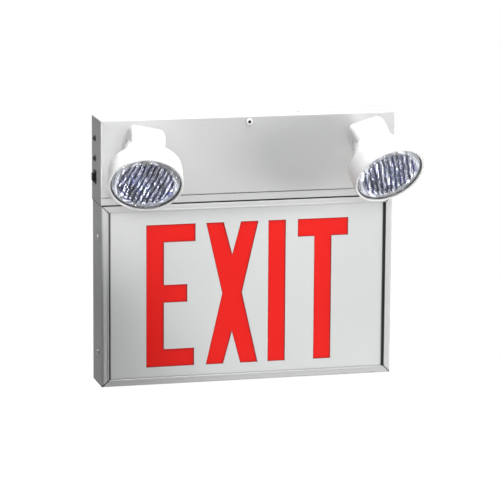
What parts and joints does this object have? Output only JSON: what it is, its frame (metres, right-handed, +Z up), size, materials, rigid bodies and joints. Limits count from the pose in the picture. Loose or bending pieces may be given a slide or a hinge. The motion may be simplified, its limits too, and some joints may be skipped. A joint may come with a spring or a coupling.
{
  "type": "emergency exit light",
  "caption": "Wall-mounted steel exit sign with a stencilled red word, a battery housing above it and swivelling emergency lamp heads on its front.",
  "frame": {"origin": "centre of the four wall screw holes, on the back plane that lies against the wall", "axes": "+Y into the wall, so the sign faces -Y; +Z up; +X to the right as one faces the sign"},
  "size_m": [0.4452, 0.1969, 0.378],
  "materials": {
    "aluminium_plain": "mill finish",
    "amber_lens": "tinted lens",
    "battery_case": "moulded case",
    "black_moulding": "fine matte",
    "board_green": "solder mask",
    "board_white": "white solder mask",
    "bulb_glass": "clear glass",
    "bush_rubber": "soft",
    "ceramic": "unglazed",
    "clear_lens": "clear moulded lens",
    "coil_wire": "enamelled wire",
    "core_steel": "varnished laminations",
    "diode_yellow": "phosphor",
    "green_lens": "tinted lens",
    "mirror_metal": "vacuum-metallised plastic",
    "red_sheet": "translucent red sheet",
    "relay_blue": "moulded case",
    "white_moulding": "smooth white moulding",
    "white_paint": "satin powder coat",
    "white_rail": "satin powder coat",
    "zinc_steel": "bright zinc plate"
  },
  "bodies": {
    "fixture": {"battery": "battery_case", "battery_housing": "white_paint", "battery_strap": "zinc_steel", "battery_terminals": "zinc_steel", "board_standoffs": "zinc_steel", "charge_indicator": "amber_lens", "charge_indicator_holder": "black_moulding", "charger_board": "board_green", "corner_keys": "aluminium_plain", "cover_screw": "zinc_steel", "filter_capacitors": "aluminium_plain", "frame_rail_bottom": "white_rail", "frame_rail_left": "white_rail", "frame_rail_right": "white_rail", "frame_rail_top": "white_rail", "front_cover": "white_paint", "joining_nuts": "zinc_steel", "joining_screws": "zinc_steel", "led_diodes_bottom": "diode_yellow", "led_diodes_top": "diode_yellow", "led_strip_bottom": "board_white", "led_strip_top": "board_white", "output_connector": "board_white", "power_indicator": "green_lens", "power_indicator_holder": "black_moulding", "rail_screws": "zinc_steel", "red_diffuser": "red_sheet", "sign_tray": "white_paint", "stencil_plate": "white_paint", "supply_terminals": "board_white", "test_switch_body": "black_moulding", "transfer_relay": "relay_blue", "transformer_coil": "coil_wire", "transformer_core": "core_steel", "wire_bush": "bush_rubber"},
    "left_swivel": {"left_swivel_base": "white_moulding", "left_swivel_nut": "zinc_steel", "left_swivel_washer": "zinc_steel"},
    "left_head": {"left_bulb": "bulb_glass", "left_head_shell": "white_moulding", "left_lamp_socket": "ceramic", "left_lens": "clear_lens", "left_pivot_bolt": "zinc_steel", "left_pivot_nut": "zinc_steel", "left_reflector": "mirror_metal"},
    "right_swivel": {"right_swivel_base": "white_moulding", "right_swivel_nut": "zinc_steel", "right_swivel_washer": "zinc_steel"},
    "right_head": {"right_bulb": "bulb_glass", "right_head_shell": "white_moulding", "right_lamp_socket": "ceramic", "right_lens": "clear_lens", "right_pivot_bolt": "zinc_steel", "right_pivot_nut": "zinc_steel", "right_reflector": "mirror_metal"},
    "test_button": {"test_button": "black_moulding"}
  },
  "joints": [
    {"name": "left_head_pan", "type": "hinge", "parent": "fixture", "child": "left_swivel", "pos_m": [-0.1608, -0.108, 0.1597], "axis": [0, 1, 0], "range_deg": [-150, 150]},
    {"name": "left_head_tilt", "type": "hinge", "parent": "left_swivel", "child": "left_head", "pos_m": [-0.1608, -0.108, 0.1597], "axis": [0.9744, 0, -0.225], "range_deg": [-30, 30]},
    {"name": "right_head_pan", "type": "hinge", "parent": "fixture", "child": "right_swivel", "pos_m": [0.1608, -0.108, 0.1597], "axis": [0, 1, 0], "range_deg": [-150, 150]},
    {"name": "right_head_tilt", "type": "hinge", "parent": "right_swivel", "child": "right_head", "pos_m": [0.1608, -0.108, 0.1597], "axis": [0.9627, 0, 0.2706], "range_deg": [-30, 30]},
    {"name": "test_button_press", "type": "slide", "parent": "fixture", "child": "test_button", "axis": [1, 0, 0], "range_m": [0, 0.0018], "stiffness_N_per_m": 600, "springref_m": -0.001}
  ]
}
